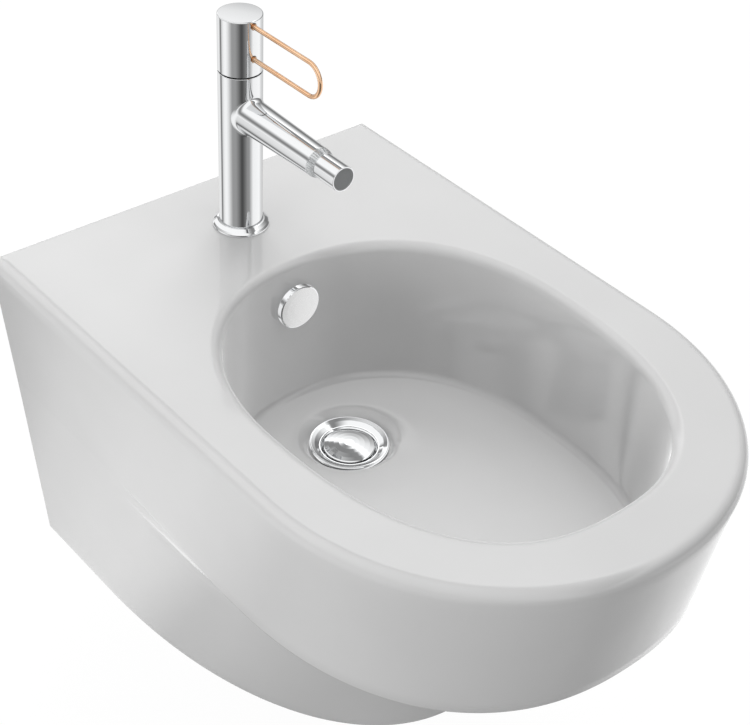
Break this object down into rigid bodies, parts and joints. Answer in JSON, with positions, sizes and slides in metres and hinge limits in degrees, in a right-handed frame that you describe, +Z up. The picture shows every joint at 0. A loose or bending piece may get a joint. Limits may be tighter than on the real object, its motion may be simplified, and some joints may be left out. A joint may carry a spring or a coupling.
{
  "type": "bidet",
  "caption": "Wall-hung ceramic bidet with a D-shaped rim, an egg-shaped basin, a lever mixer with wire loop handle and swivel nozzle, a push-open waste and a round overflow cap.",
  "frame": {"origin": "middle of the two wall bolts on the back face", "axes": "+Y into the wall, -Y towards the user, +X to the user's right as seen from the front of the basin facing the wall, +Z up"},
  "size_m": [0.365, 0.535, 0.473],
  "materials": {
    "china": "white glazed vitreous china",
    "chrome": "polished chrome plate",
    "satin_chrome": "satin chrome plate",
    "copper": "rose gold plated wire",
    "brass": "turned brass",
    "steel": "plain stainless steel",
    "nylon": "moulded white nylon",
    "grey_plastic": "moulded grey plastic",
    "discs": "ground ceramic",
    "rubber": "black sealing rubber"
  },
  "bodies": {
    "base": {"china_body": "china", "wall_sleeves": "nylon", "foot_ring": "chrome", "foot_seal": "rubber", "tap_body": "chrome", "cartridge_cup": "nylon", "cartridge_discs": "discs", "dome_nut": "chrome", "spout_collar": "grey_plastic", "tap_stud": "brass", "clamp_rubber": "rubber", "clamp_plate": "steel", "stud_nut": "brass", "waste_flange": "chrome", "flange_seal": "rubber", "cone_seal": "rubber", "waste_nut": "chrome", "click_guide": "grey_plastic", "overflow_cap": "satin_chrome", "overflow_bush": "nylon"},
    "turn": {"cartridge_carrier": "grey_plastic", "pivot_pin": "steel"},
    "head": {"lever_stem": "brass", "tap_head": "chrome", "grub_screw": "steel", "wire_handle": "copper"},
    "swivel": {"swivel_seat": "nylon"},
    "nozzle": {"nozzle": "chrome", "aerator": "grey_plastic"},
    "plug": {"plug": "chrome", "plug_seal": "rubber", "plug_stem": "nylon"}
  },
  "joints": [
    {"name": "head_turn", "type": "hinge", "parent": "base", "child": "turn", "pos_m": [0, -0.069, 0.2024], "axis": [0, 0, 1], "range_deg": [-45, 45]},
    {"name": "head_tilt", "type": "hinge", "parent": "turn", "child": "head", "pos_m": [0, -0.069, 0.2024], "axis": [-1, 0, 0], "range_deg": [0, 20]},
    {"name": "nozzle_spin", "type": "hinge", "parent": "base", "child": "swivel", "pos_m": [0, -0.16407, 0.1815], "axis": [0, -1, 0], "continuous": true},
    {"name": "nozzle_tilt", "type": "hinge", "parent": "swivel", "child": "nozzle", "pos_m": [0, -0.16407, 0.1815], "axis": [1, 0, 0], "range_deg": [-15, 15]},
    {"name": "plug_slide", "type": "slide", "parent": "base", "child": "plug", "axis": [0, 0, -1], "range_m": [0, 0.0065]}
  ]
}
